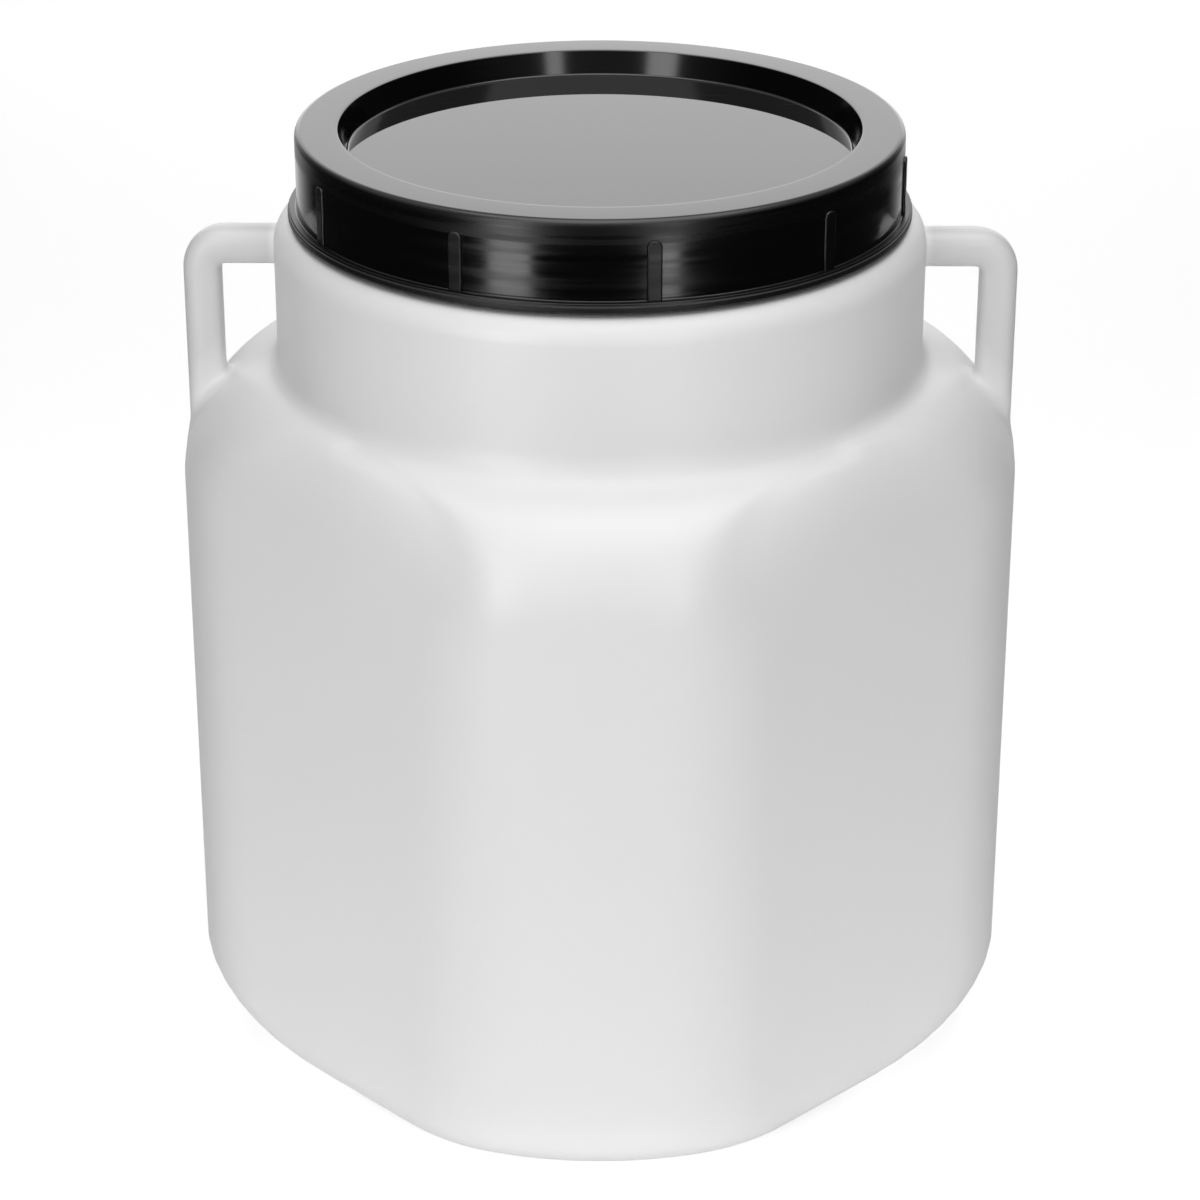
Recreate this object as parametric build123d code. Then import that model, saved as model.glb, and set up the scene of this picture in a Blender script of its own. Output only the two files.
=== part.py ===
"""Fermentation barrel of about 30 litres: a blow-moulded body with two moulded-on handles, its screw lid
and the lid's seal. Millimetres, +Z up. The origin is the middle of the base, on the floor.
X runs through the two handles and -Y is the front."""

import os
from math import acos, atan2, cos, pi, radians, sin, sqrt

from build123d import *

# Overall height, floor to the top of the closed lid
barrel_height = 419.5

# Neck and mouth
neck_radius = 117.5
neck_wall = 3.5
neck_foot_bevel = 2.0
lip_bevel = 1.0

# Screw lid, sized outwards and inwards from the neck
lid_height = 36.7
lid_wall = 2.6
thread_gap = 4.8                 # room for the thread between the neck and the skirt
skirt_wall = 3.7
lid_edge_round = 3.0
lid_round_steps = 2              # straight steps that stand for the round
flange_reach = 3.7               # how far the bead at the foot stands out from the skirt
flange_height = 4.0
flange_bevel = 0.9
plate_clearance = 3.2            # the sunk plate's wall to the inside of the neck
recess_depth = 10.2
recess_draft = 3.9               # how far the recess draws in over its depth
recess_edge_bevel = 0.6
recess_floor_bevel = 1.5
lug_count = 10
lug_width = 6.0
lug_height = 1.0
lug_below_lid_top = 8.5
first_lug_angle = 10.4           # from the front, towards +X

# Seal
gasket_thickness = 3.0
gasket_clearance = 0.4

# Collar, which stands out past the lid's bead
collar_margin = 6.3
collar_height = 62.8             # from the shoulder to the collar's top
collar_gap = 1.5                 # lid's lower edge to the top of the collar
collar_top_round = 10.0
collar_round_steps = 3
flare_height = 5.0               # where the collar stands on the shoulder it flares out, from this height
flare_depth = 4.0                # down to this depth inside the shoulder
flare_spread = 5.6

# Handles
handle_diameter = 16.0
finger_gap = 22.9                # collar to the inner face of the upright
handle_bend_radius = 10.0
handle_below_collar_top = 14.5   # collar's top to the middle of the crossbar

# Body: a circle cut by four flats, so that it has four round corners, to the front, the back and the sides
wall = 3.0
corner_margin = 2.3              # how far the corners stand out past the handles
flat_depth = 20.2                # how far the flats are cut in from the corners
edge_radius = 80.0               # round between a corner and a flat
shoulder_height = 46.5
flat_shoulder_height = 30.0      # the shoulder is lower, and so tighter, over a flat
shoulder_inset = 2.0             # the shoulder's top edge lies this far inside the collar
ring_inset = 65.7                # corner to the outside of the ring that the barrel stands on
ring_width = 25.5
corner_base_height = 50.0        # height over which a corner rounds in to the standing ring
flat_base_height = 57.0          # the same on a flat
corner_base_fullness = 1.8       # 2 is an ellipse, more is squarer
flat_base_fullness = 2.3
base_recess_depth = 6.0
base_recess_slope = 12.0         # how far the recess draws in over its depth

overrun = 5.0                    # how far a cutting or joining piece runs on
near = 0.01                      # how closely an edge is matched to a size

# Radii worked out from the neck outwards
mouth_radius = neck_radius - neck_wall
recess_radius = mouth_radius - plate_clearance - lid_wall
recess_floor_radius = recess_radius - recess_draft
skirt_inner_radius = neck_radius + thread_gap
lid_radius = skirt_inner_radius + skirt_wall
flange_radius = lid_radius + flange_reach
collar_radius = flange_radius + collar_margin
upright_x = collar_radius + finger_gap + handle_diameter / 2
corner_radius = upright_x + handle_diameter / 2 + corner_margin
flat_distance = corner_radius - flat_depth
shoulder_top_radius = collar_radius - shoulder_inset
standing_radius = corner_radius - ring_inset
base_recess_radius = standing_radius - ring_width

# Heights worked out from the lid's top downwards
gasket_top_z = barrel_height - lid_wall
lip_z = gasket_top_z - gasket_thickness
recess_floor_z = barrel_height - recess_depth
lid_foot_z = barrel_height - lid_height
flange_top_z = lid_foot_z + flange_height
collar_top_z = lid_foot_z - collar_gap
handle_z = collar_top_z - handle_below_collar_top
shoulder_top_z = collar_top_z - collar_height
shoulder_foot_z = shoulder_top_z - shoulder_height
flare_foot_z = shoulder_top_z - flare_depth

# Where the level sections lie, as shares of the height of the base and of the shoulder
base_shares = (0.0, 0.03, 0.09, 0.2, 0.36, 0.56, 0.78, 1.0)
shoulder_shares = (0.0, 0.3, 0.56, 0.78, 0.92, 1.0)
points_per_quarter = 12


def rounded(share, fullness):
    """How far out a round has come at this share of its height: 0 at its tip, 1 where it meets the wall"""
    return (1 - abs(1 - share) ** fullness) ** (1 / fullness)


def section_radius(from_flat, corner, flat, edge):
    """Radius of a circle cut by four flats, with rounded edges, at an angle from the middle of a flat"""
    quarter = pi / 2
    turn = abs((from_flat + quarter / 2) % quarter - quarter / 2)
    if flat >= corner:
        return corner
    edge = min(edge, flat / 2)
    centre_radius = corner - edge
    corner_start = acos((flat - edge) / centre_radius)
    flat_end = atan2(centre_radius * sin(corner_start), flat)
    if turn >= corner_start:
        return corner
    if turn <= flat_end:
        return flat / cos(turn)
    across = cos(turn - corner_start)
    return centre_radius * across + sqrt(edge ** 2 - centre_radius ** 2 * (1 - across ** 2))


def corner_and_flat(z, inset):
    """Radius of the corners and distance of the flats at a height, on the skin or at an inset inside it"""
    corner = corner_radius - inset
    flat = flat_distance - inset
    flat_rise = (z - inset) / (flat_base_height - inset)
    corner_rise = (z - inset) / (corner_base_height - inset)
    corner_fall = (z - shoulder_foot_z) / (shoulder_height - inset)
    flat_fall = (z - shoulder_top_z + flat_shoulder_height) / (flat_shoulder_height - inset)
    if flat_rise < 1:
        flat = standing_radius + (flat - standing_radius) * rounded(flat_rise, flat_base_fullness)
    if corner_rise < 1:
        corner = standing_radius + (corner - standing_radius) * rounded(corner_rise, corner_base_fullness)
    if corner_fall > 0:
        top = shoulder_top_radius - inset
        corner = top + (corner - top) * sqrt(max(1 - corner_fall ** 2, 0))
        flat = top + (flat - top) * sqrt(max(1 - max(flat_fall, 0) ** 2, 0))
    return corner, flat


def body_section(z, inset):
    """Outline of the body at a height, in four quarters that start in the middle of a flat"""
    corner, flat = corner_and_flat(z, inset)
    quarters = []
    for quarter in range(4):
        points = []
        for step in range(points_per_quarter + 1):
            from_flat = pi / 2 * step / points_per_quarter
            around = radians(45) + pi / 2 * quarter + from_flat
            radius = section_radius(from_flat, corner, flat, edge_radius - inset)
            points.append(Vector(radius * cos(around), radius * sin(around), z))
        start = radians(45) + pi / 2 * quarter
        along_start = Vector(-sin(start), cos(start), 0)
        along_end = Vector(-cos(start), -sin(start), 0)
        quarters.append(Edge.make_spline(points, tangents=[along_start, along_end]))
    return Wire(quarters)


def body_form(inset):
    """The body below its collar: rounded base, straight sides with four flats, domed shoulder"""
    levels = [inset + share * (flat_base_height - inset) for share in base_shares]
    levels += [shoulder_foot_z + share * (shoulder_height - inset) for share in shoulder_shares]
    return Solid.make_loft([body_section(z, inset) for z in levels], ruled=True)


def turned(*corners):
    """Solid of revolution about Z from the corners of its outline, each a radius and a height"""
    return revolve(Plane.XZ * make_face(Polyline(*corners, close=True)), Axis.Z).solid()


def stepped_round(radius, z, size, steps):
    """Corners of an outline round a quarter circle of this size, from the top face out to the wall"""
    turns = [radians(90 * step / steps) for step in range(steps + 1)]
    return [(radius - size + size * sin(turn), z - size + size * cos(turn)) for turn in turns]


def circles(solid, radius, z):
    """The round edges of a solid that have this radius at this height"""
    return [
        edge for edge in solid.edges().filter_by(GeomType.CIRCLE)
        if abs(edge.radius - radius) < near and abs(edge.arc_center.Z - z) < near
    ]


def handle():
    """One handle: a crossbar out of the collar that bends down into an upright, which lands on the shoulder"""
    path = FilletPolyline(
        (collar_radius - wall - overrun, 0, handle_z),
        (upright_x, 0, handle_z),
        (upright_x, 0, shoulder_foot_z),
        radius=handle_bend_radius,
    )
    start = Plane(path @ 0, z_dir=path % 0)
    return sweep(start * Circle(handle_diameter / 2), path=path).solid()


def skin():
    """The body's outer form with its collar, neck and handles"""
    top = turned(
        (0, flare_foot_z),
        (0, lip_z),
        (neck_radius, lip_z),
        (neck_radius, collar_top_z),
        *stepped_round(collar_radius, collar_top_z, collar_top_round, collar_round_steps),
        (collar_radius, shoulder_top_z + flare_height),
        (collar_radius + flare_spread, flare_foot_z),
    )
    top = top.chamfer(neck_foot_bevel, None, circles(top, neck_radius, collar_top_z))
    right = handle()
    return body_form(0) + top + right + right.mirror(Plane.YZ)


def hollow():
    """The room inside the body, an even wall within the skin and open at the mouth"""
    inner_radius = collar_radius - wall
    inner_top_z = collar_top_z - wall
    top = turned(
        (0, shoulder_foot_z),
        (inner_radius, shoulder_foot_z),
        (inner_radius, inner_top_z),
        (mouth_radius, inner_top_z),
        (mouth_radius, lip_z + overrun),
        (0, lip_z + overrun),
    )
    top = top.chamfer(collar_top_round - wall, None, circles(top, inner_radius, inner_top_z))
    form = body_form(wall) + top
    inner_recess_radius = base_recess_radius + wall
    raised_floor = turned(
        (0, 0),
        (inner_recess_radius, 0),
        (inner_recess_radius, wall),
        (inner_recess_radius - base_recess_slope, base_recess_depth + wall),
        (0, base_recess_depth + wall),
    )
    return form - raised_floor


def barrel():
    """The blow-moulded body, with a recess under its base so that it stands on a ring"""
    recess = turned(
        (0, -overrun),
        (base_recess_radius, -overrun),
        (base_recess_radius, 0),
        (base_recess_radius - base_recess_slope, base_recess_depth),
        (0, base_recess_depth),
    )
    body = skin() - hollow() - recess
    lip = circles(body, neck_radius, lip_z) + circles(body, mouth_radius, lip_z)
    return body.chamfer(lip_bevel, None, lip)


def lug():
    """One narrow grip lug on the skirt, round at its top, at the front of the lid"""
    top_round = (lug_width - lug_height) / 2
    top_z = barrel_height - lug_below_lid_top
    outline = FilletPolyline(
        (-lug_width / 2, flange_top_z - flange_height / 2),
        (lug_width / 2, flange_top_z - flange_height / 2),
        (lug_width / 2, top_z),
        (-lug_width / 2, top_z),
        radius=[0, 0, top_round, top_round],
        close=True,
    )
    root = Plane.XZ.offset(lid_radius - lug_height)
    return extrude(root * make_face(outline), 2 * lug_height).solid()


def screw_lid():
    """The lid: a recessed plate inside a raised rim, and a skirt with a bead at its foot and narrow lugs"""
    shell = turned(
        (0, recess_floor_z),
        (recess_floor_radius, recess_floor_z),
        (recess_radius, barrel_height),
        *stepped_round(lid_radius, barrel_height, lid_edge_round, lid_round_steps),
        (lid_radius, flange_top_z),
        (flange_radius, flange_top_z),
        (flange_radius, lid_foot_z),
        (skirt_inner_radius, lid_foot_z),
        (skirt_inner_radius, gasket_top_z),
        (recess_radius + lid_wall, gasket_top_z),
        (recess_floor_radius + lid_wall, recess_floor_z - lid_wall),
        (0, recess_floor_z - lid_wall),
    )
    bead = circles(shell, flange_radius, flange_top_z) + circles(shell, flange_radius, lid_foot_z)
    shell = shell.chamfer(flange_bevel, None, bead)
    shell = shell.chamfer(recess_edge_bevel, None, circles(shell, recess_radius, barrel_height))
    shell = shell.chamfer(recess_floor_bevel, None, circles(shell, recess_floor_radius, recess_floor_z))
    first = lug().rotate(Axis.Z, first_lug_angle)
    return shell + [first.rotate(Axis.Z, 360 * index / lug_count) for index in range(lug_count)]


def lid_gasket():
    """The flat sealing ring in the lid's channel, pressed on by the neck's lip"""
    inner_radius = recess_radius + lid_wall + gasket_clearance
    outer_radius = skirt_inner_radius - gasket_clearance
    return turned(
        (inner_radius, lip_z),
        (outer_radius, lip_z),
        (outer_radius, gasket_top_z),
        (inner_radius, gasket_top_z),
    )


os.makedirs("parts", exist_ok=True)
for part_maker in (barrel, screw_lid, lid_gasket):
    export_step(part_maker(), f"parts/{part_maker.__name__}.step")
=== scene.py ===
"""Fermentation barrel of about 30 litres in natural white plastic, with two moulded-on handles, a black screw
lid and the lid's seal. Metres, +Z up. X runs through the two handles and -Y is the front."""

from math import acos, atan2, cos, hypot, pi, radians, sin, sqrt, tan

import bpy
from mathutils import Matrix, Vector


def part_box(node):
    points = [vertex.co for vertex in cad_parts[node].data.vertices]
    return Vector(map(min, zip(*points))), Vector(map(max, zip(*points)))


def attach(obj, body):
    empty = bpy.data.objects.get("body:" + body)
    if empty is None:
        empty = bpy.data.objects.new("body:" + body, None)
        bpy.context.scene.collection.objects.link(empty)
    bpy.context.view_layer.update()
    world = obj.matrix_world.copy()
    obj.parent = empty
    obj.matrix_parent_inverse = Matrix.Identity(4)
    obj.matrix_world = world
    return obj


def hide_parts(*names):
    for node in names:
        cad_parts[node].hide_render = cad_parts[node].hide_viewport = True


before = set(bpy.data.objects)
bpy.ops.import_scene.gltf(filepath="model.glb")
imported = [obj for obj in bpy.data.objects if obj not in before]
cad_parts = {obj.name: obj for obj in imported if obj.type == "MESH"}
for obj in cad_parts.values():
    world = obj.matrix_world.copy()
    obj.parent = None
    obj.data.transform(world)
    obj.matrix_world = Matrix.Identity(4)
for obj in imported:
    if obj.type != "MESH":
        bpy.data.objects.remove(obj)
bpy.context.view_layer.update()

mm = 0.001
hair = 0.1 * mm

# Sizes read from the frame
barrel_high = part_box("barrel")[1]
lid_low, lid_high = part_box("screw_lid")
seal_low, seal_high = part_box("lid_gasket")
corner_radius = barrel_high.x
lip_z = barrel_high.z
lid_top_z = lid_high.z
lid_foot_z = lid_low.z
flange_radius = lid_high.x
seal_radius = seal_high.x

# Barrel
wall = 3.0 * mm
flat_distance = corner_radius - 20.2 * mm
edge_radius = 80.0 * mm
shoulder_edge_radius = 45.0 * mm
edge_run = 32.0 * mm
standing_radius = corner_radius - 65.7 * mm
corner_base_height = 50.0 * mm
flat_base_height = 57.0 * mm
corner_base_fullness = 1.8
flat_base_fullness = 2.3
ring_width = 25.5 * mm
recess_depth = 6.0 * mm
recess_slope = 12.0 * mm
recess_round = 5.0 * mm
ring_round = 3.0 * mm
shoulder_top_z = lid_foot_z - 64.3 * mm
front_drop = 3.5 * mm
shoulder_height = 46.5 * mm
middle_shoulder_height = 36.0 * mm
flat_shoulder_height = 69.0 * mm
shoulder_fullness = 2.0
side_shoulder_fullness = 1.8
flat_shoulder_fullness = 1.6
front_hollow = 13.0 * mm
side_hollow = 7.0 * mm
flat_hollow = 11.0 * mm
flat_lift = 1.5 * mm
shoulder_foot_z = shoulder_top_z - shoulder_height
flat_foot_z = shoulder_top_z - flat_shoulder_height
collar_radius = flange_radius + 6.3 * mm
collar_top_z = lid_foot_z - 1.5 * mm
collar_round = 10.0 * mm
neck_foot_round = 2.0 * mm
inner_neck_round = 3.0 * mm
shoulder_top_radius = collar_radius - 2.0 * mm
neck_radius = flange_radius - 12.2 * mm
neck_wall = 3.5 * mm
lip_round = 1.2 * mm
barrel_steps_around = 180

# Handles
handle_radius = 8.0 * mm
handle_z = collar_top_z - 14.5 * mm
upright_x = collar_radius + 30.9 * mm
bend_radius = 10.0 * mm
handle_squareness = 2.8
handle_points = 40
foot_round = 6.0 * mm
foot_ring_step = 2.0 * mm
foot_heights = [30.0, 9.0, 6.4, 4.4, 2.9, 1.7, 0.9, 0.35, 0.0, -1.5]

# Thread
thread_starts = 2
thread_pitch = 8.0 * mm
thread_height = 2.9 * mm
thread_step = 0.8 * mm
thread_fade = 2.0 * mm
neck_thread = (collar_top_z + 5 * mm, lip_z - 3 * mm)
lid_thread = (lid_foot_z + 3 * mm, lip_z - 8 * mm)

# Lid
lid_radius = flange_radius - 3.7 * mm
skirt_inner_radius = lid_radius - 3.7 * mm
lid_wall = 2.6 * mm
plate_z = lid_top_z - 10.2 * mm
rim_inner_radius = lid_radius - 17.8 * mm
plate_radius = rim_inner_radius - 3.9 * mm
flange_height = 4.0 * mm
rim_round = 2.8 * mm
rim_lean_width = 2.0 * mm
rim_lean = 0.16 * mm
bead_step = 0.8 * mm
bead_step_height = 0.9 * mm
lid_steps_around = 240
lug_count = 10
first_lug_angle = 10.4
lug_width = 6.0 * mm
lug_height = 1.0 * mm
lug_top_z = lid_top_z - 8.5 * mm
lug_corner_round = 2.6 * mm
lug_edge_round = 0.7 * mm

# Seal
seal_clearance = 0.4 * mm
groove_depth = 0.5 * mm
seal_steps_around = 180

# Patterns of the surfaces. Real orange peel and rubber grain are finer, and would not show.
peel_grain = 3.8 * mm
wall_drift = 36.0 * mm
parting_width = 1.0 * mm
flow_length = 90.0 * mm
flow_width = 2.6 * mm
scratch_length = 26.0 * mm
scratch_width = 1.2 * mm
scratch_strength = 0.12
dust_spacing = 19.0 * mm
dust_size = 0.7 * mm
rubber_grain = 1.4 * mm

# How dull each part of the lid is, as roughness added to a polished surface
flow_polish, flow_dullness = 0.08, 0.24
wall_dullness = 0.11
lug_dullness = 0.17
skirt_dullness, bead_dullness = 0.02, 0.14
mark_dullness = 0.15

# Camera and its place, from the photograph
focal_length = 109.9
camera_distance = 1456.3 * mm
camera_above_lid = 448.6 * mm
camera_pitch = 24.54
camera_turn = 0.8

# Light, in units of plain white
world_strength = 0.18
front_dimness = 0.02
floor_lift = 0.4


def colour(hex_code):
    """Linear RGBA of an sRGB hex colour"""
    channels = [int(hex_code[i:i + 2], 16) / 255 for i in (1, 3, 5)]
    return [c / 12.92 if c <= 0.04045 else ((c + 0.055) / 1.055) ** 2.4 for c in channels] + [1.0]


def deselect():
    bpy.ops.object.select_all(action="DESELECT")


def select_only(piece):
    deselect()
    piece.select_set(True)
    bpy.context.view_layer.objects.active = piece


def rounded(share, fullness):
    """How far out a round has come at this share of its height: 0 at its tip, 1 where it meets the wall"""
    return (1 - abs(1 - share) ** fullness) ** (1 / fullness)


def section_radius(around, corner, flat, middle, edge):
    """Radius, at an angle from +X, of a circle cut by four flats that bulge in the middle"""
    turn = abs(around % (pi / 2) - pi / 4)
    if corner - flat < hair / 10:
        return corner
    centre_radius = corner - edge
    corner_start = acos((flat - edge) / centre_radius)
    flat_end = atan2(centre_radius * sin(corner_start), flat)
    if turn >= corner_start:
        return corner
    if turn <= flat_end:
        return (middle + (flat - middle) * (turn / flat_end) ** 2) / cos(turn)
    across = cos(turn - corner_start)
    return centre_radius * across + sqrt(edge ** 2 - centre_radius ** 2 * (1 - across ** 2))


def softly_smaller(one, other, reach):
    """The smaller of two sizes, with a smooth run from one to the other"""
    near = max(reach - abs(one - other), 0)
    return min(one, other) - near ** 2 / (4 * reach)


def shoulder_radius(z, side, top_z, height, fullness, hollow, inset):
    """Radius at a height where the shoulder, a quarter oval, runs into the collar through a soft hollow"""
    collar = collar_radius - inset
    top = shoulder_top_radius - inset
    low, high = collar, side
    for _ in range(30):
        radius = (low + high) / 2
        across = (radius - top) / (side - top)
        up = max(z - top_z + height, 0) / (height - inset)
        oval = (across ** fullness + up ** fullness) ** (1 / fullness)
        steepness = hypot(across ** (fullness - 1) / (side - top), up ** (fullness - 1) / (height - inset))
        from_shoulder = (oval - 1) * oval ** (fullness - 1) / steepness
        if softly_smaller(radius - collar, from_shoulder, hollow) < 0:
            low = radius
        else:
            high = radius
    return low


def corner_and_flat(z, inset, by_handle=False):
    """Radius of the corners, and distance of the flats at their edges and in their middle, at a height, on
    the skin or at an inset inside it. By a handle the shoulder starts higher and its flats fall less far."""
    corner = corner_radius - inset
    flat = flat_distance - inset
    flat_rise = (z - inset) / (flat_base_height - inset)
    corner_rise = (z - inset) / (corner_base_height - inset)
    if flat_rise < 1:
        out = rounded(max(flat_rise, 0), flat_base_fullness)
        flat = standing_radius + (flat - standing_radius) * out
    if corner_rise < 1:
        out = rounded(max(corner_rise, 0), corner_base_fullness)
        corner = standing_radius + (corner - standing_radius) * out
    if z > shoulder_foot_z and by_handle:
        form = (shoulder_top_z, shoulder_height, side_shoulder_fullness, side_hollow)
        corner = shoulder_radius(z, corner, *form, inset)
    elif z > shoulder_foot_z:
        top_z = shoulder_top_z - front_drop
        form = (top_z, shoulder_height - front_drop, shoulder_fullness, front_hollow)
        corner = shoulder_radius(z, corner, *form, inset)
    if z > flat_foot_z:
        top_z = shoulder_top_z + flat_lift
        form = (top_z, middle_shoulder_height + flat_lift, shoulder_fullness, flat_hollow)
        middle = shoulder_radius(z, flat, *form, inset)
        form = (top_z, flat_shoulder_height + flat_lift, flat_shoulder_fullness, flat_hollow)
        flat = middle if by_handle else shoulder_radius(z, flat, *form, inset)
    else:
        middle = flat
    return corner, min(flat, corner), min(middle, corner)


def edge_at(z, by_handle):
    """Radius between flats and corners, which tightens towards the shoulder at the front and back"""
    if by_handle:
        return edge_radius
    share = min(max((z - flat_foot_z) / edge_run, 0), 1)
    return edge_radius + (shoulder_edge_radius - edge_radius) * share * share * (3 - 2 * share)


def wall_levels(inset):
    """Heights of the body's rings, close together where it curves"""
    base = [inset + (flat_base_height - inset) * (step / 14) ** 2 for step in range(1, 15)]
    side = [flat_base_height + (flat_foot_z - flat_base_height) * step / 7 for step in range(1, 8)]
    side += [flat_foot_z + (shoulder_foot_z - flat_foot_z) * step / 6 for step in range(1, 6)]
    rise = shoulder_height - inset
    shoulder = [shoulder_foot_z + rise * sin(pi / 2 * step / 30) for step in range(31)]
    foot = [shoulder[-1] + (front_hollow + 1 * mm) * (step / 8) ** 1.5 for step in range(1, 9)]
    return base + side + shoulder + foot


def draw_outline(name, corners, closed=True):
    """A flat outline in the XZ plane from corners of (radius, height, round), drawn by extruding a point"""
    deselect()
    bpy.ops.mesh.primitive_plane_add(size=mm)
    piece = bpy.context.object
    piece.name = name
    bpy.ops.object.mode_set(mode="EDIT")
    bpy.ops.mesh.select_mode(type="VERT")
    bpy.ops.mesh.select_all(action="SELECT")
    bpy.ops.mesh.merge(type="CENTER")
    bpy.ops.transform.translate(value=(corners[0][0], 0, corners[0][1]))
    for (last_x, last_z, _), (x, z, _) in zip(corners, corners[1:]):
        bpy.ops.mesh.extrude_region_move(TRANSFORM_OT_translate={"value": (x - last_x, 0, z - last_z)})
    bpy.ops.mesh.select_all(action="SELECT")
    if closed:
        bpy.ops.mesh.edge_face_add()
    count = len(corners)
    for index, (x, z, size) in enumerate(corners):
        if size:
            before, after = corners[index - 1], corners[(index + 1) % count]
            to_before = Vector((before[0] - x, before[1] - z))
            to_after = Vector((after[0] - x, after[1] - z))
            offset = size / tan(to_before.angle(to_after) / 2)
            select_points(piece, lambda point: hypot(point.x - x, point.z - z) < 0.02 * mm)
            segments = 12 if size > 5 * mm else 6
            bpy.ops.mesh.bevel(offset=offset, segments=segments, affect="VERTICES", clamp_overlap=True)
    if closed:
        bpy.ops.mesh.select_all(action="SELECT")
        bpy.ops.mesh.delete(type="ONLY_FACE")
    bpy.ops.object.mode_set(mode="OBJECT")
    return piece


def select_points(piece, wanted):
    """In edit mode, selects the points of a mesh that the test holds for"""
    bpy.ops.mesh.select_mode(type="VERT")
    bpy.ops.mesh.select_all(action="DESELECT")
    bpy.ops.object.mode_set(mode="OBJECT")
    for vertex in piece.data.vertices:
        vertex.select = wanted(vertex.co)
    bpy.ops.object.mode_set(mode="EDIT")


def spin_round(piece, steps):
    """Spins an outline about Z into a closed skin"""
    select_only(piece)
    bpy.ops.object.mode_set(mode="EDIT")
    bpy.ops.mesh.select_all(action="SELECT")
    bpy.ops.mesh.spin(steps=steps, angle=2 * pi, center=(0, 0, 0), axis=(0, 0, 1))
    bpy.ops.mesh.select_all(action="SELECT")
    bpy.ops.mesh.remove_doubles(threshold=0.02 * mm)
    bpy.ops.mesh.normals_make_consistent(inside=False)
    bpy.ops.object.mode_set(mode="OBJECT")


def thread_levels(ends):
    """Heights of the rings that carry a thread"""
    low, high = ends
    return [low + step * thread_step for step in range(int((high - low) / thread_step) + 1)]


def thread_ridge(around, z, ends, shift):
    """Height of a thread's ridge at a place, fading in and out at its two ends"""
    low, high = ends
    phase = ((z - collar_top_z) / thread_pitch - around * thread_starts / (2 * pi) + shift) % 1
    ridge = min(max(1.7 - abs(phase - 0.5) * 6.0, 0), 1)
    fade_in = min(max((z - low) / thread_fade, 0), 1)
    fade_out = min(max((high - z) / thread_fade, 0), 1)
    return thread_height * ridge * fade_in * fade_out


def barrel_outline():
    """Half section of the barrel through a corner: under the base, up the outside, over the lip and down"""
    ring_inner = standing_radius - ring_width
    mouth_radius = neck_radius - neck_wall
    inner_collar = collar_radius - wall
    inner_top_z = collar_top_z - wall
    corners = [
        (0, recess_depth, 0),
        (ring_inner - recess_slope, recess_depth, recess_round),
        (ring_inner, 0, ring_round),
        (standing_radius, 0, 0),
    ]
    corners += [(corner_and_flat(z, 0)[0], z, 0) for z in wall_levels(0)]
    corners += [
        (collar_radius, collar_top_z, collar_round),
        (neck_radius, collar_top_z, neck_foot_round),
    ]
    corners += [(neck_radius, z, 0) for z in thread_levels(neck_thread)]
    corners += [
        (neck_radius, lip_z, lip_round),
        (mouth_radius, lip_z, lip_round),
        (mouth_radius, inner_top_z, inner_neck_round),
        (inner_collar, inner_top_z, collar_round - wall),
    ]
    corners += [(corner_and_flat(z, wall)[0], z, 0) for z in reversed(wall_levels(wall))]
    corners += [
        (standing_radius, wall, 0),
        (ring_inner + wall, wall, ring_round),
        (ring_inner + wall - recess_slope, recess_depth + wall, recess_round),
        (0, recess_depth + wall, 0),
    ]
    return corners


def shape_barrel(piece):
    """Presses the flats into the spun body and raises the thread on the neck"""
    flats_end_z = shoulder_top_z + front_hollow + 2 * mm
    thread_start_z = collar_top_z + 3 * mm
    for vertex in piece.data.vertices:
        x, y, z = vertex.co
        radius = hypot(x, y)
        around = atan2(y, x)
        outside = corner_and_flat(z, 0)[0]
        inset = 0 if radius > outside - wall / 2 else wall
        if radius > standing_radius + hair and z < flats_end_z:
            drawn = corner_and_flat(z, inset)[0]
            by_handle = abs(x) > abs(y)
            corner, flat, middle = corner_and_flat(z, inset, by_handle)
            off = radius - drawn
            edge = edge_at(z, by_handle) - inset
            scale = section_radius(around, corner + off, flat + off, middle + off, edge) / radius
            vertex.co = (x * scale, y * scale, z)
        elif z > thread_start_z and radius > neck_radius - hair:
            scale = 1 + thread_ridge(around, z, neck_thread, 0) / radius
            vertex.co = (x * scale, y * scale, z)


def shoulder_z(x, y):
    """Height of the shoulder's skin over a place near a handle"""
    share = (hypot(x, y) - shoulder_top_radius) / (corner_radius - shoulder_top_radius)
    fall = max(1 - share ** side_shoulder_fullness, 0) ** (1 / side_shoulder_fullness)
    return shoulder_foot_z + shoulder_height * fall


def flare(distance):
    """How far a handle widens at its foot, by distance from the shoulder that it runs into"""
    if distance >= foot_round:
        return 0
    return foot_round - sqrt(foot_round ** 2 - (foot_round - max(distance, 0)) ** 2)


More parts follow.
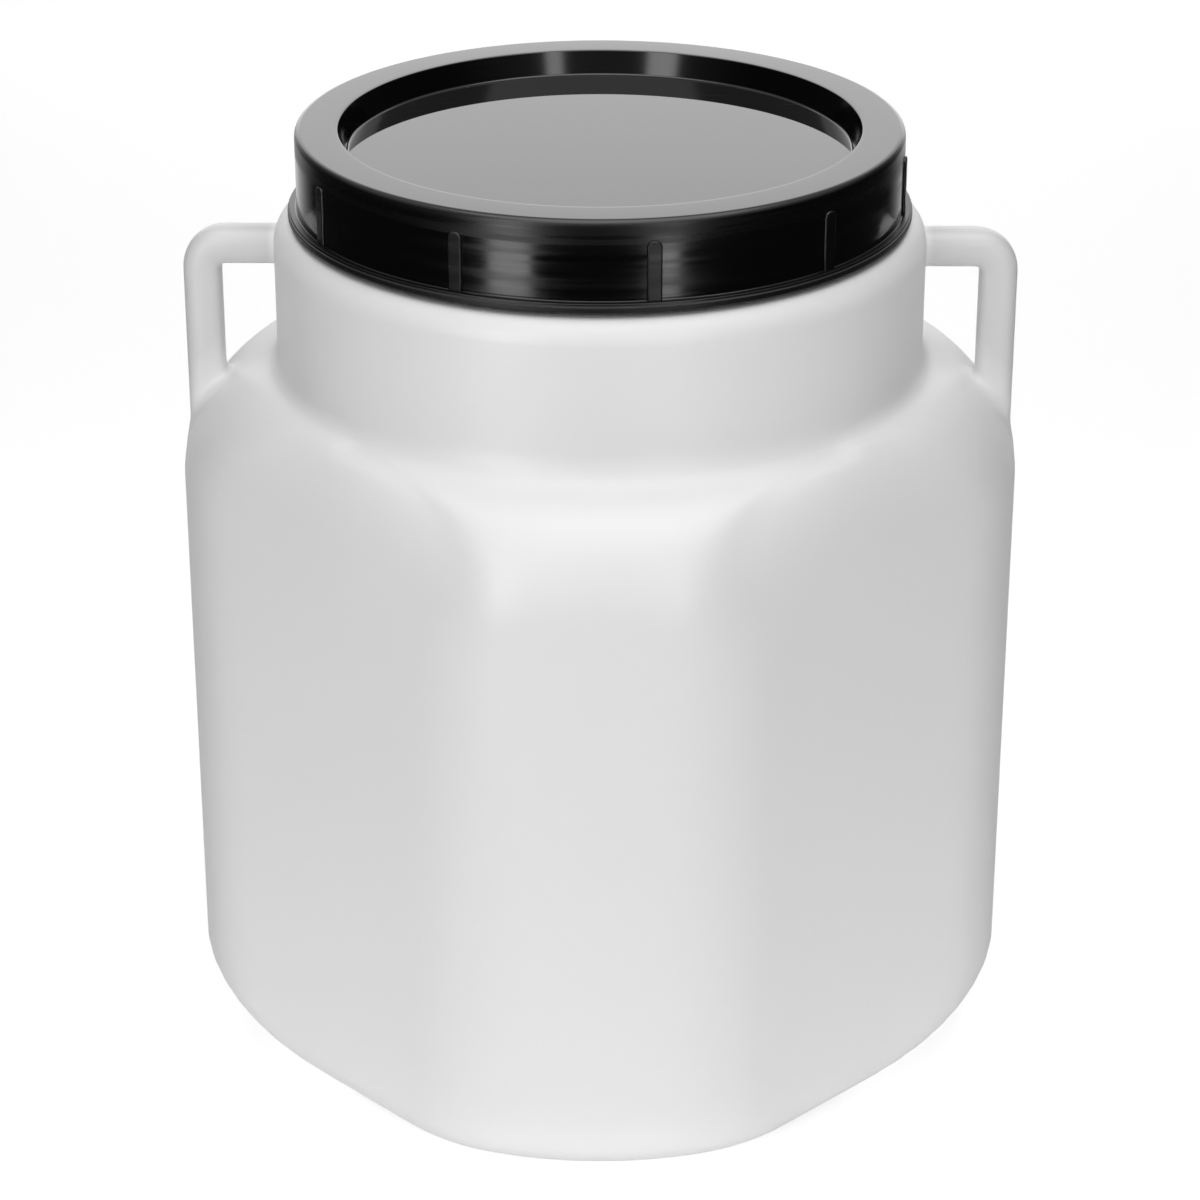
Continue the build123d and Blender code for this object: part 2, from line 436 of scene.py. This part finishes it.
def handle(name):
    """A handle at +X: a ring extruded out of the collar, spun round the bend and extruded down"""
    deselect()
    start_x = collar_radius - wall / 2
    bend_x = upright_x - bend_radius
    bend_z = handle_z - bend_radius
    bpy.ops.mesh.primitive_circle_add(
        vertices=handle_points,
        radius=handle_radius,
        fill_type="NGON",
        location=(0, 0, 0),
        rotation=(0, -pi / 2, 0),
    )
    piece = bpy.context.object
    piece.name = name
    bpy.ops.object.transform_apply(location=True, rotation=True, scale=True)
    for vertex in piece.data.vertices:
        across, up = abs(vertex.co.y) / handle_radius, abs(vertex.co.z) / handle_radius
        vertex.co /= (across ** handle_squareness + up ** handle_squareness) ** (1 / handle_squareness)
    bpy.ops.object.mode_set(mode="EDIT")
    bpy.ops.mesh.select_all(action="SELECT")
    bpy.ops.transform.translate(value=(start_x, 0, handle_z))
    for run in (wall, bend_x - start_x - wall):
        bpy.ops.mesh.extrude_region_move(TRANSFORM_OT_translate={"value": (run, 0, 0)})
    bpy.ops.mesh.spin(steps=14, angle=pi / 2, center=(bend_x, 0, bend_z), axis=(0, -1, 0))
    for _ in foot_heights:
        bpy.ops.mesh.extrude_region_move(TRANSFORM_OT_translate={"value": (0, 0, -foot_ring_step)})
    bpy.ops.mesh.select_all(action="SELECT")
    bpy.ops.mesh.normals_make_consistent(inside=False)
    bpy.ops.object.mode_set(mode="OBJECT")
    for vertex in piece.data.vertices:
        x, y, z = vertex.co
        if z < bend_z - foot_ring_step / 4:
            above = foot_heights[round((bend_z - z) / foot_ring_step) - 1] * mm
            wide = 1 + flare(above) / handle_radius
            x = upright_x + (x - upright_x) * wide
            y *= wide
            reach = min(hypot(x, y), corner_radius - 6 * hair) / hypot(x, y)
            follows = above < 10 * mm
            height = shoulder_z(x * reach, y * reach) if follows else shoulder_z(upright_x, 0)
            vertex.co = (x * reach, y * reach, height + above)
    return piece


def join_solids(piece, *others):
    """Boolean union of closed pieces into the first"""
    for other in others:
        select_only(piece)
        union = piece.modifiers.new("union", "BOOLEAN")
        union.operation = "UNION"
        union.solver = "EXACT"
        union.object = other
        bpy.ops.object.modifier_apply(modifier=union.name)
        bpy.data.objects.remove(other)


def mirrored(piece, name):
    """A copy of a piece on the other side of the YZ plane, with its own mesh"""
    copy = piece.copy()
    copy.data = piece.data.copy()
    copy.name = name
    bpy.context.scene.collection.objects.link(copy)
    select_only(copy)
    bpy.ops.object.mode_set(mode="EDIT")
    bpy.ops.mesh.select_all(action="SELECT")
    bpy.ops.transform.resize(value=(-1, 1, 1), center_override=(0, 0, 0))
    bpy.ops.mesh.normals_make_consistent(inside=False)
    bpy.ops.object.mode_set(mode="OBJECT")
    return copy


def barrel_body():
    """The whole blow-moulded barrel"""
    piece = draw_outline("barrel_body", barrel_outline(), closed=False)
    spin_round(piece, barrel_steps_around)
    shape_barrel(piece)
    right = handle("right_handle")
    join_solids(piece, right, mirrored(right, "left_handle"))
    return piece


def lid_outline():
    """Half section of the lid: over the plate, the rim and down the skirt, back up inside"""
    inner_top_z = lid_top_z - lid_wall
    bead_top_z = lid_foot_z + flange_height
    step_radius = flange_radius - bead_step
    outside = [
        (0, plate_z, 0),
        (plate_radius, plate_z, 1.2 * mm),
        (rim_inner_radius, lid_top_z - rim_lean, 0.5 * mm),
        (rim_inner_radius + rim_lean_width, lid_top_z, 0),
        (lid_radius, lid_top_z, rim_round),
        (lid_radius, bead_top_z, 0.5 * mm),
        (step_radius, bead_top_z, 0.3 * mm),
        (step_radius, bead_top_z - bead_step_height, 0.2 * mm),
        (flange_radius, bead_top_z - bead_step_height - 3 * hair, 0.5 * mm),
        (flange_radius, lid_foot_z, 1.1 * mm),
    ]
    inside = [(skirt_inner_radius, lid_foot_z, 0.8 * mm)]
    inside += [(skirt_inner_radius, z, 0) for z in thread_levels(lid_thread)]
    inside += [
        (skirt_inner_radius, inner_top_z, 0.8 * mm),
        (rim_inner_radius + lid_wall, inner_top_z, 0.8 * mm),
        (plate_radius + lid_wall, plate_z - lid_wall, 1.2 * mm),
        (0, plate_z - lid_wall, 0),
    ]
    return outside + inside


def lug(angle):
    """One narrow grip lug on the skirt: a rounded bar with soft edges"""
    deselect()
    foot_z = lid_foot_z + flange_height - 1 * mm
    height = lug_top_z - foot_z
    bpy.ops.mesh.primitive_cube_add(size=1, location=(0, -lid_radius, foot_z + height / 2))
    piece = bpy.context.object
    piece.name = "lug"
    piece.scale = (lug_width, 2 * lug_height, height)
    bpy.ops.object.transform_apply(location=True, rotation=True, scale=True)
    bpy.ops.object.mode_set(mode="EDIT")
    bpy.ops.mesh.select_mode(type="EDGE")
    bpy.ops.mesh.select_all(action="DESELECT")
    bpy.ops.object.mode_set(mode="OBJECT")
    for edge in piece.data.edges:
        ends = [piece.data.vertices[i].co for i in edge.vertices]
        on_top = all(end.z > lug_top_z - hair for end in ends)
        edge.select = on_top and abs(ends[0].x - ends[1].x) < hair
    bpy.ops.object.mode_set(mode="EDIT")
    bpy.ops.mesh.bevel(offset=lug_corner_round, segments=8, affect="EDGES")
    bpy.ops.mesh.select_all(action="DESELECT")
    bpy.ops.object.mode_set(mode="OBJECT")
    for edge in piece.data.edges:
        ends = [piece.data.vertices[i].co for i in edge.vertices]
        edge.select = all(end.y < -lid_radius - lug_height + hair / 2 for end in ends)
    bpy.ops.object.mode_set(mode="EDIT")
    bpy.ops.mesh.bevel(offset=lug_edge_round, segments=4, affect="EDGES")
    bpy.ops.mesh.select_all(action="SELECT")
    bpy.ops.transform.rotate(value=-radians(angle), orient_axis="Z", center_override=(0, 0, 0))
    bpy.ops.object.mode_set(mode="OBJECT")
    return piece


def screw_lid():
    """The lid with its lugs and the thread inside its skirt"""
    piece = draw_outline("lid", lid_outline(), closed=False)
    spin_round(piece, lid_steps_around)
    for vertex in piece.data.vertices:
        x, y, z = vertex.co
        radius = hypot(x, y)
        if abs(radius - skirt_inner_radius) < hair and lid_thread[0] <= z <= lid_thread[1]:
            reach = 1 - thread_ridge(atan2(y, x), z, lid_thread, 0.5) / radius
            vertex.co = (x * reach, y * reach, z)
    lugs = [lug(first_lug_angle + 360 * index / lug_count) for index in range(lug_count)]
    select_only(piece)
    for one in lugs:
        one.select_set(True)
    bpy.ops.object.join()
    return piece


def lid_seal():
    """The flat moulded ring in the lid's channel, with a fine groove on each side of the lip"""
    inner_radius = rim_inner_radius + lid_wall + seal_clearance
    low, high = seal_low.z, seal_high.z
    corners = [(inner_radius, low, 0.8 * mm)]
    for groove in (neck_radius - neck_wall - 1.4 * mm, neck_radius + 1.6 * mm):
        corners += [
            (groove - groove_depth, low, 0),
            (groove, low + groove_depth, 0),
            (groove + groove_depth, low, 0),
        ]
    corners += [
        (seal_radius, low, 0.8 * mm),
        (seal_radius, high, 0.5 * mm),
        (inner_radius, high, 0.5 * mm),
    ]
    piece = draw_outline("seal_ring", corners)
    spin_round(piece, seal_steps_around)
    return piece


def add_node(tree, kind, inputs=(), outputs=(), **settings):
    """Adds a node with its settings, its input values or incoming sockets, and its outgoing links"""
    node = tree.nodes.new(kind)
    for name, value in settings.items():
        setattr(node, name, value)
    for name, value in dict(inputs).items():
        if isinstance(value, bpy.types.NodeSocket):
            tree.links.new(value, node.inputs[name])
        else:
            node.inputs[name].default_value = value
    for name, socket in dict(outputs).items():
        tree.links.new(node.outputs[name], socket)
    return node


def new_material(name):
    material = bpy.data.materials.new(name)
    material.use_nodes = True
    tree = material.node_tree
    tree.nodes.clear()
    output = tree.nodes.new("ShaderNodeOutputMaterial")
    place = tree.nodes.new("ShaderNodeTexCoord").outputs["Object"]
    return material, tree, output, place


def natural_hdpe():
    """Natural high-density polyethylene, blow-moulded: milky, satin, with a faint orange peel, a slow drift
    in its wall and a fine line where the mould parts. Its handles carry painted shade: a darker grey base
    colour than the body."""
    material, tree, output, place = new_material("natural_hdpe_blow_moulded")
    axes = add_node(tree, "ShaderNodeSeparateXYZ", {0: place}).outputs
    peel = add_node(tree, "ShaderNodeTexNoise", {"Vector": place, "Scale": 1 / peel_grain, "Detail": 3.0})
    drift = add_node(tree, "ShaderNodeTexNoise", {"Vector": place, "Scale": 1 / wall_drift, "Detail": 3.0})
    mixed = add_node(
        tree, "ShaderNodeMath", {0: peel.outputs["Fac"], 1: drift.outputs["Fac"]}, operation="ADD"
    )
    from_parting = add_node(tree, "ShaderNodeMath", {0: axes["Y"]}, operation="ABSOLUTE")
    parting = add_node(
        tree,
        "ShaderNodeMapRange",
        {
            "Value": from_parting.outputs[0],
            "From Min": parting_width / 4,
            "From Max": parting_width / 2,
            "To Min": 3.0,
            "To Max": 0.0,
        },
    )
    heights = add_node(tree, "ShaderNodeMath", {0: mixed.outputs[0], 1: parting.outputs[0]}, operation="ADD")
    bump = add_node(
        tree, "ShaderNodeBump", {"Height": heights.outputs[0], "Strength": 0.1, "Distance": 0.4 * mm}
    )
    rough = add_node(
        tree, "ShaderNodeMapRange", {"Value": drift.outputs["Fac"], "To Min": 0.36, "To Max": 0.46}
    )
    # Mask of the handles, beyond the collar and above the shoulder, where painted shade goes
    outward = add_node(tree, "ShaderNodeMath", {0: axes["X"]}, operation="ABSOLUTE").outputs[0]
    beyond_collar = add_node(
        tree,
        "ShaderNodeMapRange",
        {"Value": outward, "From Min": collar_radius + 0.3 * mm, "From Max": collar_radius + 3 * mm},
    )
    leaning = add_node(tree, "ShaderNodeMath", {0: outward, 1: axes["Z"]}, operation="ADD")
    foot_place = corner_radius + shoulder_top_z
    above_shoulder = add_node(
        tree,
        "ShaderNodeMapRange",
        {
            "Value": leaning.outputs[0],
            "From Min": foot_place - 24 * mm,
            "From Max": foot_place - 6 * mm,
        },
    )
    handle_painted_shade = add_node(
        tree,
        "ShaderNodeMath",
        {0: beyond_collar.outputs[0], 1: above_shoulder.outputs[0]},
        operation="MULTIPLY",
    )
    # Painted shade: the handles get a darker grey, #DADADA against the body's #ECECEC, standing in for the
    # light they lose through the thin plastic
    tint = add_node(
        tree,
        "ShaderNodeMix",
        {0: handle_painted_shade.outputs[0], 6: colour("#ECECEC"), 7: colour("#DADADA")},
        data_type="RGBA",
    )
    add_node(
        tree,
        "ShaderNodeBsdfPrincipled",
        {
            "Base Color": tint.outputs[2],
            "Roughness": rough.outputs[0],
            "IOR": 1.5,
            "Subsurface Weight": 0.25,
            "Subsurface Radius": (1.0, 1.0, 1.0),
            "Subsurface Scale": 4 * mm,
            "Normal": bump.outputs[0],
        },
        {"BSDF": output.inputs["Surface"]},
    )
    return material


def black_polypropylene():
    """Black polypropylene, injection-moulded in a polished tool: glossy, with flow lines round the skirt,
    fine scratches on the plate, a little dust, and a duller grip on the lugs and the bead"""
    material, tree, output, place = new_material("black_polypropylene_moulded")
    height = add_node(tree, "ShaderNodeSeparateXYZ", {0: place}).outputs["Z"]
    level = add_node(tree, "ShaderNodeVectorMath", {0: place, 1: (1, 1, 0)}, operation="MULTIPLY")
    radius = add_node(tree, "ShaderNodeVectorMath", {0: level.outputs[0]}, operation="LENGTH")
    stretched = add_node(
        tree, "ShaderNodeMapping", {"Vector": place, "Scale": (1, 1, flow_length / flow_width)}
    )
    flow = add_node(
        tree, "ShaderNodeTexNoise", {"Vector": stretched.outputs[0], "Scale": 1 / flow_length, "Detail": 4.0}
    )
    turned = add_node(
        tree,
        "ShaderNodeMapping",
        {"Vector": place, "Rotation": (0, 0, radians(12)), "Scale": (1, scratch_length / scratch_width, 1)},
    )
    scratch = add_node(
        tree, "ShaderNodeTexNoise", {"Vector": turned.outputs[0], "Scale": 1 / scratch_length, "Detail": 1.0}
    )
    on_plate = add_node(
        tree,
        "ShaderNodeMapRange",
        {
            "Value": radius.outputs["Value"],
            "From Min": plate_radius,
            "From Max": plate_radius - 3 * mm,
            "To Max": scratch_strength,
        },
    )
    scratched = add_node(
        tree,
        "ShaderNodeMapRange",
        {"Value": scratch.outputs["Fac"], "From Min": 0.7, "From Max": 0.8, "To Max": on_plate.outputs[0]},
    )
    dust = add_node(tree, "ShaderNodeTexVoronoi", {"Vector": place, "Scale": 1 / dust_spacing})
    dusty = add_node(
        tree,
        "ShaderNodeMapRange",
        {
            "Value": dust.outputs["Distance"],
            "From Min": dust_size / 2 / dust_spacing,
            "From Max": dust_size / 4 / dust_spacing,
        },
    )
    polish = add_node(
        tree,
        "ShaderNodeMapRange",
        {
            "Value": flow.outputs["Fac"],
            "From Min": 0.32,
            "From Max": 0.7,
            "To Min": flow_polish,
            "To Max": flow_dullness,
        },
    )
    middle_z = (plate_z + lid_top_z) / 2
    from_middle = add_node(tree, "ShaderNodeMath", {0: height, 1: -middle_z}, operation="ADD")
    off_middle = add_node(tree, "ShaderNodeMath", {0: from_middle.outputs[0]}, operation="ABSOLUTE")
    on_wall = add_node(
        tree,
        "ShaderNodeMapRange",
        {
            "Value": off_middle.outputs[0],
            "From Min": lid_top_z - middle_z - 0.2 * mm,
            "From Max": lid_top_z - middle_z - 0.6 * mm,
            "To Max": wall_dullness,
        },
    )
    upright = add_node(
        tree,
        "ShaderNodeMapRange",
        {"Value": radius.outputs["Value"], "From Min": lid_radius - 4 * mm, "From Max": lid_radius - 2 * mm},
    )
    polished = add_node(
        tree,
        "ShaderNodeMath",
        {0: polish.outputs[0], 1: upright.outputs[0], 2: on_wall.outputs[0]},
        operation="MULTIPLY_ADD",
    )
    on_lug = add_node(
        tree,
        "ShaderNodeMapRange",
        {
            "Value": radius.outputs["Value"],
            "From Min": lid_radius + 0.7 * lug_height,
            "From Max": lid_radius + 0.9 * lug_height,
            "To Max": lug_dullness,
        },
    )
    on_bead = add_node(
        tree,
        "ShaderNodeMapRange",
        {
            "Value": height,
            "From Min": lid_foot_z + 0.8 * flange_height,
            "From Max": lid_foot_z + 0.7 * flange_height,
            "To Min": skirt_dullness,
            "To Max": bead_dullness,
        },
    )
    marks = add_node(
        tree, "ShaderNodeMath", {0: scratched.outputs[0], 1: dusty.outputs[0]}, operation="MAXIMUM"
    )
    dull = add_node(tree, "ShaderNodeMath", {0: on_lug.outputs[0], 1: on_bead.outputs[0]}, operation="ADD")
    worn = add_node(
        tree,
        "ShaderNodeMath",
        {0: marks.outputs[0], 1: mark_dullness, 2: dull.outputs[0]},
        operation="MULTIPLY_ADD",
    )
    rough = add_node(tree, "ShaderNodeMath", {0: polished.outputs[0], 1: worn.outputs[0]}, operation="ADD")
    bump = add_node(
        tree, "ShaderNodeBump", {"Height": flow.outputs["Fac"], "Strength": 0.06, "Distance": 0.3 * mm}
    )
    tint = add_node(
        tree,
        "ShaderNodeMix",
        {0: marks.outputs[0], 6: colour("#040404"), 7: colour("#7A7A7A")},
        data_type="RGBA",
    )
    add_node(
        tree,
        "ShaderNodeBsdfPrincipled",
        {
            "Base Color": tint.outputs[2],
            "Roughness": rough.outputs[0],
            "IOR": 1.5,
            "Normal": bump.outputs[0],
        },
        {"BSDF": output.inputs["Surface"]},
    )
    return material


def seal_rubber():
    """Thermoplastic rubber, moulded: matt and even"""
    material, tree, output, place = new_material("thermoplastic_rubber_moulded")
    grain = add_node(tree, "ShaderNodeTexNoise", {"Vector": place, "Scale": 1 / rubber_grain, "Detail": 2.0})
    bump = add_node(
        tree, "ShaderNodeBump", {"Height": grain.outputs["Fac"], "Strength": 0.15, "Distance": 0.2 * mm}
    )
    add_node(
        tree,
        "ShaderNodeBsdfPrincipled",
        {"Base Color": colour("#B9B9B4"), "Roughness": 0.6, "Normal": bump.outputs[0]},
        {"BSDF": output.inputs["Surface"]},
    )
    return material


def finish_piece(piece, node, body, material, angle):
    """Gives a piece its material and smooth shading, and sets it in the place of a CAD node"""
    select_only(piece)
    bpy.ops.object.shade_smooth_by_angle(angle=radians(angle))
    shading = piece.modifiers.new("weighted_normals", "WEIGHTED_NORMAL")
    shading.keep_sharp = True
    bpy.ops.object.modifier_apply(modifier=shading.name)
    piece.data.materials.clear()
    piece.data.materials.append(material)
    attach(piece, body)
    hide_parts(node)


finish_piece(barrel_body(), "barrel", "barrel", natural_hdpe(), 40)
finish_piece(screw_lid(), "screw_lid", "lid", black_polypropylene(), 35)
finish_piece(lid_seal(), "lid_gasket", "gasket", seal_rubber(), 35)


def pale_floor():
    """A plain pale floor that keeps the barrel's shadow, lifted to white where the camera sees it"""
    deselect()
    bpy.ops.mesh.primitive_plane_add(size=12)
    floor = bpy.context.object
    floor.name = "floor"
    floor.visible_glossy = False
    material, tree, output, _ = new_material("pale_floor")
    path = tree.nodes.new("ShaderNodeLightPath")
    board = add_node(tree, "ShaderNodeBsdfDiffuse", {"Color": colour("#F8F8F8")})
    lift = add_node(
        tree, "ShaderNodeMath", {0: path.outputs["Is Camera Ray"], 1: floor_lift}, operation="MULTIPLY"
    )
    glow = add_node(tree, "ShaderNodeEmission", {"Color": colour("#FFFFFF"), "Strength": lift.outputs[0]})
    add_node(
        tree,
        "ShaderNodeAddShader",
        {0: board.outputs[0], 1: glow.outputs[0]},
        {0: output.inputs["Surface"]},
    )
    floor.data.materials.append(material)


def studio_world():
    """White surroundings to the camera, even and soft as light, and in reflections dim towards the front"""
    world = bpy.data.worlds.new("studio")
    bpy.context.scene.world = world
    world.use_nodes = True
    tree = world.node_tree
    tree.nodes.clear()
    path = tree.nodes.new("ShaderNodeLightPath")
    towards = tree.nodes.new("ShaderNodeTexCoord").outputs["Generated"]
    direction = add_node(tree, "ShaderNodeSeparateXYZ", {0: towards})
    to_back_left = add_node(
        tree, "ShaderNodeVectorMath", {0: towards, 1: (-0.04, 1, 0)}, operation="DOT_PRODUCT"
    )
    backward = add_node(
        tree,
        "ShaderNodeMapRange",
        {"Value": to_back_left.outputs["Value"], "From Min": 0.67, "From Max": 1.0},
        interpolation_type="SMOOTHSTEP",
    )
    upward = add_node(
        tree,
        "ShaderNodeMapRange",
        {
            "Value": direction.outputs["Z"],
            "From Min": 0.35,
            "From Max": 0.9,
            "To Min": front_dimness,
        },
    )
    mirrored_room = add_node(
        tree, "ShaderNodeMath", {0: backward.outputs[0], 1: upward.outputs[0]}, operation="MAXIMUM"
    )
    lit = add_node(
        tree,
        "ShaderNodeMix",
        {0: path.outputs["Is Glossy Ray"], 2: world_strength, 3: mirrored_room.outputs[0]},
    )
    shown = add_node(
        tree,
        "ShaderNodeMath",
        {0: path.outputs["Is Camera Ray"], 1: path.outputs["Is Transmission Ray"]},
        operation="MAXIMUM",
    )
    strength = add_node(tree, "ShaderNodeMix", {0: shown.outputs[0], 2: lit.outputs[0], 3: 1.0})
    background = add_node(
        tree, "ShaderNodeBackground", {"Color": colour("#FFFFFF"), "Strength": strength.outputs[0]}
    )
    output = tree.nodes.new("ShaderNodeOutputWorld")
    tree.links.new(background.outputs[0], output.inputs["Surface"])


def around(angle, distance, z):
    """A place at an angle from the front, counted towards +X, and a distance from the axis"""
    return (sin(radians(angle)) * distance, -cos(radians(angle)) * distance, z)


def softbox(name, place, aim, width, height, glow, lights=True, shines=True):
    """A rectangular lamp that faces a point, with its glow in units of plain white"""
    lamp = bpy.data.lights.new(name, "AREA")
    lamp.shape = "RECTANGLE"
    lamp.size = width
    lamp.size_y = height
    lamp.energy = glow * pi * width * height
    holder = bpy.data.objects.new(name, lamp)
    bpy.context.scene.collection.objects.link(holder)
    holder.location = place
    holder.rotation_mode = "QUATERNION"
    holder.rotation_quaternion = (Vector(aim) - Vector(place)).to_track_quat("-Z", "Y")
    holder.visible_camera = False
    holder.visible_diffuse = lights
    holder.visible_glossy = shines


def camera():
    """The camera at the photograph's place, angle and lens"""
    data = bpy.data.cameras.new("camera")
    data.lens = focal_length
    data.sensor_width = 36
    data.clip_start = 0.05
    data.clip_end = 50
    holder = bpy.data.objects.new("camera", data)
    bpy.context.scene.collection.objects.link(holder)
    turn = Matrix.Rotation(radians(camera_turn), 4, "Z")
    place = Matrix.Translation((0, -camera_distance, lid_top_z + camera_above_lid))
    tilt = Matrix.Rotation(radians(90 - camera_pitch), 4, "X")
    holder.matrix_world = turn @ place @ tilt
    bpy.context.scene.camera = holder


pale_floor()
studio_world()
softbox("left_strip", around(-30.5, 0.9, 0.565), (0, 0, 0.565), 0.235, 1.07, 4.2, lights=False)
softbox("right_strip", around(23.7, 0.9, 0.565), (0, 0, 0.565), 0.13, 1.07, 4.0, lights=False)
softbox("back_panel", around(180, 1.8, 1.0), (0, 0, 0.42), 2.2, 1.6, 0.92)
softbox("front_panel", around(-6, 1.8, 0.7), (0, 0, 0.3), 2.2, 1.3, 1.43, shines=False)
softbox("top_panel", around(10, 0.3, 1.6), (0, 0, 0), 1.5, 1.2, 2.3)
softbox("light_table", (0, 0, 0.002), (0, 0, 1), 1.0, 1.0, 0.44, shines=False)
camera()
bpy.context.scene.view_settings.view_transform = "Standard"
